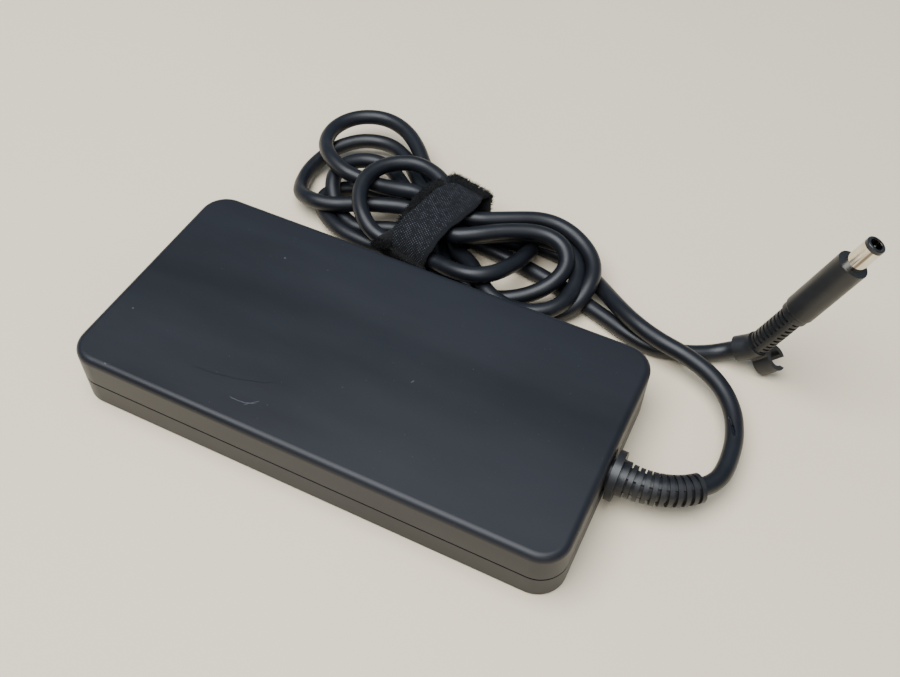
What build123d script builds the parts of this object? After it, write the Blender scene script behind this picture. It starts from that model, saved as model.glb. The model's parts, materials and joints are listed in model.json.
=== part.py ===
from build123d import *
import math
import os

# Laptop power adapter, millimetres. Origin: bottom centre of the case. +X runs along the case to
# the end that the output cord leaves, +Y to the long side that the wound cord lies behind, +Z up.

# ---- driving dimensions ----------------------------------------------------------------------
CASE_L, CASE_W, CASE_H = 200.0, 100.0, 25.4
CORNER_R = 11.0            # vertical corners of the case
TOP_EDGE_R = 2.8           # rounded edge round the top face
BOTTOM_EDGE_R = 0.8
WALL = 2.2
SEAM_Z = 11.3              # height of the joint between the two shells
SEAM_GAP = 0.3             # width of the shadow line in that joint
TONGUE_T, TONGUE_H = 0.9, 1.3
CORD_D = 7.0               # output cord
AXIS_Z = 12.4              # height of the inlet and of the cord exit

INLET_W, INLET_H, INLET_DEPTH = 27.0, 19.0, 22.0
SOCKET_W, SOCKET_H, SOCKET_DEPTH = 24.0, 16.0, 16.0
PIN_W, PIN_H, PIN_LENGTH = 2.0, 4.0, 11.0
PIN_SPACING, EARTH_RISE = 14.0, 2.0

BOARD_T, BOARD_Z = 1.6, 6.5
BOARD_TOP = BOARD_Z + BOARD_T
BOARD_X0, BOARD_X1, BOARD_Y = -76.0, 92.0, 44.0
POSTS = [(-70, -38), (-70, 38), (86, -38), (86, 38)]
POST_R, POST_PIN_R, POST_CLEARANCE = 3.0, 1.5, 0.1
SPREADER_T, FILM_T = 0.8, 0.4

# ---- case strain relief ----------------------------------------------------------------------
RELIEF_STRAIGHT = 9.0      # from the wall, before the bend
RELIEF_BEND_R, RELIEF_BEND_DEG = 29.5, 47.5
RELIEF_DROOP_DEG = 8.3     # the bend also sinks towards the table
NECK_R, GROOVE_R, FLANGE_R, COLLAR_R = 5.9, 7.4, 9.5, 6.7
RING_R0, RING_R1 = 6.3, 5.5          # first and last ring of the ribbed part
RING_T, RING_PITCH, RING_COUNT = 1.7, 2.7, 10
RELIEF_CORE_R, WEB_W = 4.3, 5.0

# ---- plug ------------------------------------------------------------------------------------
PLUG_REAR = Vector(141.5, 82.6, 38.0)      # middle of the plug body's rear face
PLUG_AXIS = Vector(0.360, 0.084, 0.929).normalized()
RELIEF_STRAIGHT_L = 12.4                   # straight run of the plug relief below the body
BODY_R, BODY_L = 6.1, 29.7
BARREL_R, BARREL_L = 3.7, 12.0
BARREL_SEAT_R, BARREL_SEAT = 3.4, 6.0      # turned-down end held in the plug body
BARREL_BORE_R, CONTACT_R, CONTACT_BORE_R = 3.1, 2.7, 2.45
TIP_L = 1.8                                # insulating ring at the barrel's tip
CENTRE_PIN_R, CENTRE_PIN_L = 0.35, 8.0
SLEEVE_R, SLEEVE_L = 5.25, 9.5
COLLAR_TOP_R, COLLAR_TOP_L = 5.55, 2.8      # plain collar between the slots and the plug body
PLUG_RELIEF_R, SLOT_CORE_R = 4.75, 4.05
SLOT_T, SLOT_PITCH, SLOT_COUNT, SPINE_W = 1.0, 2.25, 10, 2.2
RELIEF_END = (125.6, 81.0, 8.4)            # where the cord enters the sleeve
RELIEF_KNEE = (132.2, 81.7, 13.4)          # where the relief turns up towards the plug
CLIP_OFFSET, CLIP_R, CLIP_BORE_R, CLIP_W, CLIP_JAW = 10.2, 5.4, 3.4, 7.6, 5.0
CLIP_AT = Vector(130.5, 82.5, 13.0)        # point of the sleeve that the clip hangs under
CLIP_TILT_DEG = 51.7                       # the clip's axis above the horizontal

# ---- routes of the two free runs of cord -----------------------------------------------------
CASE_RUN = [
    (130.75, 9.47, 11.02), (134.35, 13.35, 10.5), (136.7, 18.6, 10.2), (137.3, 27.0, 9.9),
    (136.4, 38.0, 9.9), (131.9, 50.2, 10.2), (122.6, 60.0, 10.8), (109.6, 65.6, 11.3),
    (95.6, 68.2, 11.5), (83.4, 73.2, 11.4), (72.6, 82.2, 8.6), (63.4, 91.8, 4.6),
    (54.0, 98.4, 3.6), (42.0, 102.0, 3.6),
]
PLUG_RUN = [
    RELIEF_END, (122.1, 80.63, 5.75), (117.6, 78.6, 4.0), (111.4, 75.2, 3.6), (103.0, 71.8, 3.6),
    (93.4, 70.0, 3.6), (84.0, 72.0, 3.6), (73.6, 75.8, 3.6), (63.0, 79.4, 3.6),
    (52.0, 83.2, 3.6), (40.6, 86.4, 3.6),
]

# ---- wound cord and its strap ----------------------------------------------------------------
TIE_CENTRE = (-9.0, 84.5)
TIE_DEG = -14.0                            # direction of the strands through the strap
STRAP_W, STRAP_T = 20.0, 2.0
WAIST_W, WAIST_H, WAIST_CORNER = 40.0, 19.6, 8.0
HANK_LEFT = [(-26, 72), (-46, 66), (-66, 72), (-84, 80), (-92.5, 98), (-92, 116), (-86, 136),
             (-68, 145), (-50, 140), (-30, 118), (-22, 102)]
HANK_RIGHT = [(-2, 68), (18, 55), (34, 54), (50, 57.5), (62, 70), (63.5, 88), (58, 102),
              (44, 110), (26, 110), (6, 102)]
LEFT_H, RIGHT_H = 23.8, 23.0


def block(x, y, z0, length, width, height):
    """A box centred on (x, y) that stands on height z0."""
    return Pos(x, y, z0 + height / 2) * Box(length, width, height)


def bar_x(x0, x1, y, z, radius):
    """A round bar along X."""
    return Pos((x0 + x1) / 2, y, z) * Rot(0, 90, 0) * Cylinder(radius, abs(x1 - x0))


def rounded_slab(length, width, z0, z1, radius):
    """An upright slab with rounded vertical corners."""
    return Pos(0, 0, z0) * extrude(RectangleRounded(length, width, radius), z1 - z0)


def flat_edges(solid, z):
    """The edges of a solid that lie in the plane at height z."""
    return solid.edges().filter_by_position(Axis.Z, z - 0.01, z + 0.01)


# ---- case ------------------------------------------------------------------------------------
def case_openings():
    """The two holes that both shells share: the inlet's window and the cord exit."""
    window = Pos(-CASE_L / 2, 0, AXIS_Z) * Box(8 * WALL, INLET_W + 0.2, INLET_H + 0.2)
    cord_hole = bar_x(CASE_L / 2 - 4 * WALL, CASE_L / 2 + WALL, 0, AXIS_Z, NECK_R + 0.1)
    return window + cord_hole


def inner_slab(z0, z1, inset):
    """The space inside the walls, inset from the outside by a given amount."""
    return rounded_slab(CASE_L - 2 * inset, CASE_W - 2 * inset, z0, z1, CORNER_R - inset)


def lower_case():
    """Tray with a tongue inside its rim, board posts and a shallow label recess underneath."""
    rim = SEAM_Z - SEAM_GAP / 2
    outer = rounded_slab(CASE_L, CASE_W, 0, rim, CORNER_R)
    outer = fillet(flat_edges(outer, 0), BOTTOM_EDGE_R)
    tongue_top = rim + SEAM_GAP + TONGUE_H
    tongue = inner_slab(rim, tongue_top, WALL - TONGUE_T) - inner_slab(rim, tongue_top, WALL)
    shell = outer - inner_slab(WALL, rim, WALL) + tongue
    shell -= extrude(RectangleRounded(112, 62, 3), 0.35)
    for x, y in POSTS:
        shell += Pos(x, y, (WALL + BOARD_Z) / 2) * Cylinder(POST_R, BOARD_Z - WALL)
        shell += Pos(x, y, BOARD_Z + 1.4) * Cylinder(POST_PIN_R, 2.8)
    return shell - case_openings()


def upper_case():
    """Lid with a rounded top edge and a rebate that takes the lower shell's tongue."""
    rim = SEAM_Z + SEAM_GAP / 2
    outer = rounded_slab(CASE_L, CASE_W, rim, CASE_H, CORNER_R)
    outer = fillet(flat_edges(outer, CASE_H), TOP_EDGE_R)
    rebate = inner_slab(rim, rim + TONGUE_H + 0.1, WALL - TONGUE_T - 0.1)
    return outer - inner_slab(rim, CASE_H - WALL, WALL) - rebate - case_openings()


def rating_label():
    """Blank film lying in the recess of the underside."""
    return Pos(0, 0, 0.08) * extrude(RectangleRounded(110, 60, 2.5), 0.25)


# ---- mains inlet -----------------------------------------------------------------------------
def socket_profile():
    """Mouth of the mains socket: a rectangle with its two upper corners cut off."""
    w, h, cut = SOCKET_W / 2, SOCKET_H / 2, 4.5
    points = [(-w, -h), (w, -h), (w, h - cut), (w - cut, h), (cut - w, h), (-w, h - cut)]
    return make_face(Polyline(*points, close=True))


def inlet_pins():
    """Line, neutral and earth blades, from inside the socket to the back of the housing."""
    tip = -CASE_L / 2 + SOCKET_DEPTH - PIN_LENGTH
    tail = -CASE_L / 2 + INLET_DEPTH + 3
    places = {"line": (-PIN_SPACING / 2, 0), "neutral": (PIN_SPACING / 2, 0),
              "earth": (0, EARTH_RISE)}
    pins = {}
    for name, (y, rise) in places.items():
        blade = Pos((tip + tail) / 2, y, AXIS_Z + rise) * Box(tail - tip, PIN_W, PIN_H)
        pins[name] = chamfer(blade.faces().sort_by(Axis.X)[0].edges(), 0.5)
    return pins


def inlet_housing(pins):
    """Moulded housing with the socket cavity, open at the end wall, and slots for the blades."""
    front = -CASE_L / 2
    housing = Pos(front + INLET_DEPTH / 2, 0, AXIS_Z) * Box(INLET_DEPTH, INLET_W, INLET_H)
    mouth = Plane(origin=(front, 0, AXIS_Z), x_dir=(0, 1, 0), z_dir=(1, 0, 0))
    housing -= mouth * extrude(socket_profile(), SOCKET_DEPTH)
    for pin in pins.values():
        housing -= pin
    return housing


# ---- circuit and heat parts inside -----------------------------------------------------------
def circuit_board():
    """Board with post holes and a window that the bulk capacitors lie in."""
    length = BOARD_X1 - BOARD_X0
    board = block((BOARD_X0 + BOARD_X1) / 2, 0, BOARD_Z, length, 2 * BOARD_Y, BOARD_T)
    board = fillet(board.edges().filter_by(Axis.Z), 3)
    board -= block(8, -27, BOARD_Z, 42, 37, BOARD_T)
    for x, y in POSTS:
        board -= Pos(x, y, BOARD_Z + BOARD_T / 2) * Cylinder(POST_PIN_R + POST_CLEARANCE, BOARD_T)
    return board


def spreader(z0, flange_down):
    """Aluminium plate with a folded flange along each long side."""
    plate = block(8, 0, z0, 170, 93, SPREADER_T)
    flange_z = z0 - 4 if flange_down else z0
    for side in (-1, 1):
        plate += block(8, side * 46.1, flange_z, 150, SPREADER_T, 4 + SPREADER_T)
    for x, y in POSTS:
        if not flange_down:
            plate -= Pos(x, y, z0) * Cylinder(POST_R + 0.5, 4)
    return plate


def insulation(z0, with_posts):
    """Thin insulating sheet beside a heat spreader."""
    sheet = block(8, 0, z0, 172, 90, FILM_T)
    if with_posts:
        for x, y in POSTS:
            sheet -= Pos(x, y, z0) * Cylinder(POST_R + 0.5, 4)
    return sheet


def toroid(x, y, outer_r, inner_r, height):
    """A flat ring standing on the board."""
    ring = Cylinder(outer_r, height) - Cylinder(inner_r, height)
    return Pos(x, y, BOARD_TOP + 0.6 + height / 2) * ring


def choke_windings(centres):
    """Two arcs of wire on each choke ring, modelled as saddles round the ring."""
    saddles = []
    for x, y in centres:
        for side in (-1, 1):
            outer = Pos(x, y + side * 8, BOARD_TOP + 0.3) * Box(11, 7.6, 12, align=(
                Align.CENTER, Align.CENTER, Align.MIN))
            saddles.append(outer - toroid(x, y, 11.0, 5.0, 9.0))
    return Compound(children=saddles)


def wound_core(x, y, length, width, height, window):
    """A ferrite frame with two windows, and the coil that fills them."""
    core = block(x, y, BOARD_TOP + 0.2, length, width, height)
    for side in (-1, 1):
        core -= block(x + side * length / 4.2, y, BOARD_TOP + 2.2, window, width, height - 4)
    coil = block(x, y, BOARD_TOP + 2.6, length - 6.6, width + 4, height - 4.8)
    return core, coil - core


def heat_sink(x, y, length):
    """An L-shaped aluminium bracket that stands on the board."""
    return block(x, y, BOARD_TOP, length, 1.5, 12) + block(x, y + 3, BOARD_TOP + 10.8, length, 6, 1.2)


def transistors(x, y, count):
    """Flat packages clamped to one side of a heat sink, each with three legs."""
    packs = []
    for i in range(count):
        px = x + (i - (count - 1) / 2) * 13
        pack = block(px, y, BOARD_TOP + 3, 10, 3.4, 8)
        for leg in (-2.5, 0, 2.5):
            pack += block(px + leg, y, BOARD_TOP, 0.9, 0.6, 3.2)
        packs.append(pack)
    return Compound(children=packs)


def inner_parts():
    """Everything that stands on the board, by node name."""
    chokes = [(-58, 26), (-32, 26)]
    pfc_core, pfc_coil = wound_core(-30, -28, 26, 24, 12.4, 6)
    main_core, main_coil = wound_core(46, 6, 34, 28, 12.4, 8)
    discs = [Pos(-44 + 9 * i, 2, BOARD_TOP + 5) * Rot(0, 90, 0) * Cylinder(4, 3) for i in range(2)]
    bulk = [bar_x(-10, 26, -36 + 17.6 * i, 12.6, 8.2) for i in range(2)]
    cans = [Pos(78, -20 + 12 * i, BOARD_TOP + 6.1) * Cylinder(5, 12.2) for i in range(4)]
    fuse = bar_x(-66, -46, -38, BOARD_TOP + 3.2, 2.6)
    for x in (-64, -48):
        fuse += bar_x(x - 2, x + 2, -38, BOARD_TOP + 3.2, 2.9)
    pads = [block(46, 6, BOARD_TOP + 12.7, 26, 24, 0.4), block(-30, -28, BOARD_TOP + 12.7, 20, 18, 0.4)]
    leads = [bar_x(86, 95.4, y, AXIS_Z, 1.4) for y in (-2.2, 2.2)]
    return {
        "fuse": fuse,
        "x_capacitor": block(-61, -22, BOARD_TOP + 0.2, 18, 9, 12),
        "y_capacitors": Compound(children=discs),
        "choke_cores": Compound(children=[toroid(x, y, 11.0, 5.0, 9.0) for x, y in chokes]),
        "choke_windings": choke_windings(chokes),
        "bridge_rectifier": block(-61, -8, BOARD_TOP + 0.4, 20, 4, 11.6),
        "pfc_inductor_core": pfc_core,
        "pfc_inductor_coil": pfc_coil,
        "bulk_capacitors": Compound(children=bulk),
        "primary_heat_sink": heat_sink(4, 8, 40),
        "primary_transistors": transistors(4, 5.4, 3),
        "resonant_inductor": block(-6, 30, BOARD_TOP + 0.2, 20, 18, 12),
        "resonant_capacitor": block(15, 30, BOARD_TOP + 0.2, 13, 9, 12),
        "transformer_core": main_core,
        "transformer_coil": main_coil,
        "rectifier_heat_sink": heat_sink(48, -28, 30),
        "rectifier_transistors": transistors(48, -30.6, 2),
        "output_capacitors": Compound(children=cans),
        "control_board": block(54, 34, BOARD_TOP + 0.1, 40, 1.2, 12),
        "output_leads": Compound(children=leads),
        "thermal_pads": Compound(children=pads),
    }


# ---- case strain relief ----------------------------------------------------------------------
def relief_path():
    """Middle line of the case strain relief: straight out of the wall, then round to the side."""
    start, bend = CASE_L / 2, CASE_L / 2 + RELIEF_STRAIGHT
    half, full = math.radians(RELIEF_BEND_DEG / 2), math.radians(RELIEF_BEND_DEG)

    droop = math.radians(RELIEF_DROOP_DEG)

    def on_bend(angle):
        side = RELIEF_BEND_R * (1 - math.cos(angle))
        x = bend + RELIEF_BEND_R * math.sin(angle)
        return (x, side * math.cos(droop), AXIS_Z - side * math.sin(droop))

    straight = Line((start - WALL - 2.4, 0, AXIS_Z), (bend, 0, AXIS_Z))
    return straight + ThreePointArc(on_bend(0), on_bend(half), on_bend(full)), on_bend


def disc_on(origin, tangent, radius, thickness):
    """A disc across a path, its near face at the given point."""
    return Plane(origin=origin, z_dir=tangent) * extrude(Circle(radius), thickness)


def relief_station(on_bend, run):
    """Point and direction on the strain relief, a given run past the case wall."""
    if run <= RELIEF_STRAIGHT:
        return (CASE_L / 2 + run, 0, AXIS_Z), (1, 0, 0)
    angle, droop = (run - RELIEF_STRAIGHT) / RELIEF_BEND_R, math.radians(RELIEF_DROOP_DEG)
    side = math.sin(angle)
    return on_bend(angle), (math.cos(angle), side * math.cos(droop), -side * math.sin(droop))


def case_strain_relief():
    """Grommet in the wall, flange and collar, then rings joined by low webs."""
    path, on_bend = relief_path()
    first = path.edges()[0] @ 0
    body = sweep(Plane(origin=first, z_dir=(1, 0, 0)) * Circle(RELIEF_CORE_R), path)
    inside = CASE_L / 2 - WALL
    body += bar_x(inside - 2.2, inside - 0.1, 0, AXIS_Z, GROOVE_R)
    body += bar_x(inside - 0.2, CASE_L / 2 + 1.2, 0, AXIS_Z, NECK_R)
    body += bar_x(CASE_L / 2 + 1.1, CASE_L / 2 + 3.9, 0, AXIS_Z, FLANGE_R)
    body += bar_x(CASE_L / 2 + 3.8, CASE_L / 2 + 6.6, 0, AXIS_Z, COLLAR_R)
    for i in range(RING_COUNT):
        radius = RING_R0 + (RING_R1 - RING_R0) * i / (RING_COUNT - 1)
        run = 7.5 + i * RING_PITCH
        at, direction = relief_station(on_bend, run - 0.1)
        body += disc_on(at, direction, radius, RING_T)
        at, direction = relief_station(on_bend, run - RING_PITCH + RING_T - 0.3)
        across = Plane(origin=at, x_dir=(0, 0, 1), z_dir=direction)
        span = RING_PITCH - RING_T + 0.6
        web = across * extrude(Circle(radius - 0.9) & Rectangle(2 * RING_R0, WEB_W), span)
        body += web
    return body


# ---- cord ------------------------------------------------------------------------------------
def corner_radii(route):
    """Arc radius at each inner point of a route, from its shorter run and its turn."""
    points = [Vector(*p) for p in route]
    radii = []
    for a, b, c in zip(points, points[1:], points[2:]):
        turn = math.radians((b - a).get_angle(c - b))
        radii.append(0.45 * min((b - a).length, (c - b).length) / math.tan(turn / 2))
    return radii


def cord_tube(name, route):
    """A tube of the cord's section along straight runs joined by tangent arcs."""
    radii = corner_radii(route)
    path = FilletPolyline(*route, radius=radii)
    start = Plane(origin=path @ 0, z_dir=path % 0)
    tube = sweep(start * Circle(CORD_D / 2), path)
    section = math.pi * CORD_D ** 2 / 4
    print(name, "length", round(path.length, 1), "volume ratio", round(
        tube.volume / (section * path.length), 4), "radii", [round(r) for r in radii])
    return tube


def lobe(outline, height):
    """One end of the wound cord: a closed block with a soft outline and rounded top."""
    loop = Spline(*outline, periodic=True)
    body = extrude(make_face(loop), height)
    return fillet(flat_edges(body, height), 5.0)


def in_tie(solid):
    """Moves a solid from the strap's own axes to where the strap is."""
    return Pos(*TIE_CENTRE, 0) * Rot(0, 0, TIE_DEG) * solid


def ring_profile(grow):
    """Section of the bundle across the strands, grown by a margin, standing on z = 0."""
    middle = STRAP_T + WAIST_H / 2
    profile = RectangleRounded(WAIST_W + 2 * grow, WAIST_H + 2 * grow, WAIST_CORNER + grow)
    return Plane(origin=(0, 0, middle), x_dir=(0, 1, 0), z_dir=(1, 0, 0)) * profile


def strap():
    """Hook-and-loop strap: a closed band round the waist of the wound cord."""
    ring = extrude(ring_profile(STRAP_T - 0.1), STRAP_W / 2, both=True)
    return in_tie(ring - extrude(ring_profile(0), STRAP_W, both=True))


def cord_hank():
    """Outer shape of the wound cord: two lobes of loops and a waist through the strap."""
    lobes = lobe(HANK_LEFT, LEFT_H) + lobe(HANK_RIGHT, RIGHT_H)
    lobes -= in_tie(Pos(0, 0, 15) * Box(STRAP_W + 0.4, 200, 60))
    waist = in_tie(extrude(ring_profile(-0.1), STRAP_W / 2 + 14, both=True))
    return lobes + waist


# ---- plug ------------------------------------------------------------------------------------
def on_plug(solid):
    """Moves a solid built along +Z from the origin onto the plug's axis."""
    return Plane(origin=PLUG_REAR, x_dir=(0, 1, 0), z_dir=PLUG_AXIS).location * solid


def tube_z(outer_r, inner_r, z0, z1):
    """A tube, or a rod if it has no inner radius, along +Z."""
    ring = Circle(outer_r) - Circle(inner_r) if inner_r else Circle(outer_r)
    return Pos(0, 0, z0) * extrude(ring, z1 - z0)


def plug_body():
    """Smooth grip with a rounded rear shoulder and a sharp front edge."""
    grip = tube_z(BODY_R, 0, 0, BODY_L)
    grip = fillet(flat_edges(grip, 0), 1.1)
    return on_plug(grip - tube_z(BARREL_SEAT_R, 0, BODY_L - BARREL_SEAT, BODY_L))


def plug_contacts():
    """Barrel, insulator, inner contact, pin base and centre pin, by node name."""
    seat, tip = BODY_L - BARREL_SEAT, BODY_L + BARREL_L
    ring = tip - TIP_L
    insulator = tube_z(BARREL_BORE_R, CONTACT_R, seat, tip) + tube_z(BARREL_R, CONTACT_R, ring, tip)
    insulator = fillet(insulator.edges().group_by(Axis.Z)[-1].sort_by(SortBy.LENGTH)[-1], 0.5)
    base_top = tip - CENTRE_PIN_L - 1.2
    base = tube_z(CONTACT_BORE_R, CENTRE_PIN_R, seat, base_top)
    barrel = tube_z(BARREL_R, BARREL_BORE_R, BODY_L, ring)
    barrel += tube_z(BARREL_SEAT_R, BARREL_BORE_R, seat, BODY_L)
    return {
        "plug_barrel": on_plug(barrel),
        "plug_insulator": on_plug(insulator),
        "plug_inner_contact": on_plug(tube_z(CONTACT_R, CONTACT_BORE_R, seat, tip - 0.4)),
        "plug_pin_base": on_plug(base),
        "plug_centre_pin": on_plug(tube_z(CENTRE_PIN_R, 0, seat, tip - 1.2)),
    }


def plug_relief_path():
    """Middle line of the plug strain relief, from the cord up to the plug body."""
    top = PLUG_REAR - PLUG_AXIS * RELIEF_STRAIGHT_L
    corners = [RELIEF_END, RELIEF_KNEE, tuple(top), tuple(PLUG_REAR)]
    return FilletPolyline(*corners, radius=corner_radii(corners))


def plug_slots(path):
    """Ring slots that make the relief flexible, left whole along two spines."""
    slots = []
    for i in range(SLOT_COUNT):
        run = path.length - 3.6 - i * SLOT_PITCH
        place = Plane(origin=path @ (run / path.length), x_dir=(0, 1, 0), z_dir=path % (run / path.length))
        ring = Circle(SLEEVE_R + 1) - Circle(SLOT_CORE_R) - Rectangle(4 * SLEEVE_R, SPINE_W)
        slots.append(place * extrude(ring, SLOT_T / 2, both=True))
    return slots


def cord_clip():
    """C-shaped clip under the sleeve that holds the cord when it is wound up."""
    tilt = math.radians(CLIP_TILT_DEG)
    along = Vector(math.cos(tilt), 0, math.sin(tilt))
    away = Vector(math.sin(tilt), 0, -math.cos(tilt))
    centre = CLIP_AT + away * CLIP_OFFSET
    profile = Circle(CLIP_R) + Pos(-CLIP_R, 0) * Rectangle(5.0, 7.0)
    profile -= Circle(CLIP_BORE_R)
    profile -= Rot(0, 0, 20) * Pos(CLIP_R, 0) * Rectangle(2 * CLIP_R, CLIP_JAW)
    place = Plane(origin=centre, x_dir=away, z_dir=along)
    return place * extrude(profile, CLIP_W / 2, both=True)


def plug_strain_relief():
    """Slotted relief: a smooth sleeve at the cord end with the clip under it, a collar at the plug."""
    path = plug_relief_path()
    start = Plane(origin=path @ 0, z_dir=path % 0)
    body = sweep(start * Circle(PLUG_RELIEF_R), path)
    for slot in plug_slots(path):
        body -= slot
    sleeve = sweep(start * Circle(SLEEVE_R), path.trim(0, SLEEVE_L / path.length))
    collar = tube_z(COLLAR_TOP_R, 0, -COLLAR_TOP_L, 0)
    collar = on_plug(fillet(flat_edges(collar, -COLLAR_TOP_L), 0.5))
    return body + sleeve + collar + cord_clip()


# ---- assembly --------------------------------------------------------------------------------
def build():
    """All nodes of the adapter, by name."""
    pins = inlet_pins()
    hank = cord_hank()
    nodes = {
        "upper_case": upper_case(),
        "lower_case": lower_case(),
        "rating_label": rating_label(),
        "inlet_housing": inlet_housing(pins),
        "circuit_board": circuit_board(),
        "bottom_insulation": insulation(WALL + 0.1, True),
        "bottom_heat_spreader": spreader(WALL + 0.6, False),
        "top_heat_spreader": spreader(21.3, True),
        "top_insulation": insulation(22.3, False),
        "case_strain_relief": case_strain_relief(),
        "cord_case_run": cord_tube("case run", CASE_RUN) - hank,
        "cord_plug_run": cord_tube("plug run", PLUG_RUN) - hank,
        "cord_hank": hank,
        "hook_and_loop_strap": strap(),
        "plug_strain_relief": plug_strain_relief(),
        "plug_body": plug_body(),
    }
    nodes.update({f"inlet_{name}_pin": pin for name, pin in pins.items()})
    nodes.update(inner_parts())
    nodes.update(plug_contacts())
    return nodes


os.makedirs("parts", exist_ok=True)
for node_name, shape in build().items():
    export_step(shape, f"parts/{node_name}.step")
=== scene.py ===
# %% [markdown]
# # A laptop power adapter with its cord wound up
#
# The hard pieces of the adapter, its case, plug and strain reliefs, come in ready made as a fixed
# frame. What this lesson adds is everything that is soft or that makes a surface believable: the
# cord with its wound loops, the strap round them, and a finish for every part. Lengths are in
# metres, and the cord's route is written in millimetres, as a maker would note it.

# %% Load the frame
import json
import math
import random

import bpy
from mathutils import Matrix, Vector


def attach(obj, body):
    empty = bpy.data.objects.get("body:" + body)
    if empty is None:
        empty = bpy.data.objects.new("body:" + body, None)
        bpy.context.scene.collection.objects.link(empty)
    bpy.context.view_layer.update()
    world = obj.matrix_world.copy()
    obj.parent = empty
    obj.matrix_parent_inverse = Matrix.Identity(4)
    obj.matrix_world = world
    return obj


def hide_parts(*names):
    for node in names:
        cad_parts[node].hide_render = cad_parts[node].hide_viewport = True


MM = 0.001
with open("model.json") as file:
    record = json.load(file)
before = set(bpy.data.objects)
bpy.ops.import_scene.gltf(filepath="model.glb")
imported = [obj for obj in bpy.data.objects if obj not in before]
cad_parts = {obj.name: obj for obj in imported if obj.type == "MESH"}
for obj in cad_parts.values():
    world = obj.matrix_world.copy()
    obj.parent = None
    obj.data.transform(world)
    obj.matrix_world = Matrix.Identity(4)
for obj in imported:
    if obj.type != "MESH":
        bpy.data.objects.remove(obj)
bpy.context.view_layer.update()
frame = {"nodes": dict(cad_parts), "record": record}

# %% [markdown]
# ## Where we look from
#
# The adapter lies on a table and is seen from above its near right corner. A camera can be aimed
# with an empty and a constraint, but three fixed directions are simpler to repeat: which way is
# right, which way is up, and which way points back towards the eye. The small helper that puts new
# data into the scene is used again for every piece below.

# %% Camera
CAMERA_AT = (0.12573, -0.19750, 0.31285)
CAMERA_RIGHT = Vector((0.8992, 0.4371, 0.0205))
CAMERA_UP = Vector((-0.3476, 0.6850, 0.6402))
CAMERA_LENS, CAMERA_SENSOR = 39.41, 36.0
CAMERA_NEAR, CAMERA_FAR = 0.01, 20.0


def put(name, data):
    """A new object for this data, linked into the scene."""
    piece = bpy.data.objects.new(name, data)
    bpy.context.scene.collection.objects.link(piece)
    return piece


def add_camera():
    data = bpy.data.cameras.new("camera")
    data.lens, data.sensor_width = CAMERA_LENS, CAMERA_SENSOR
    data.clip_start, data.clip_end = CAMERA_NEAR, CAMERA_FAR
    right = CAMERA_RIGHT.normalized()
    back = right.cross(CAMERA_UP).normalized()
    turned = Matrix((right, back.cross(right), back)).transposed().to_4x4()
    camera = put("camera", data)
    camera.matrix_world = Matrix.Translation(CAMERA_AT) @ turned
    bpy.context.scene.camera = camera
    return camera


print("camera at", tuple(round(c, 3) for c in add_camera().location))
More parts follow.
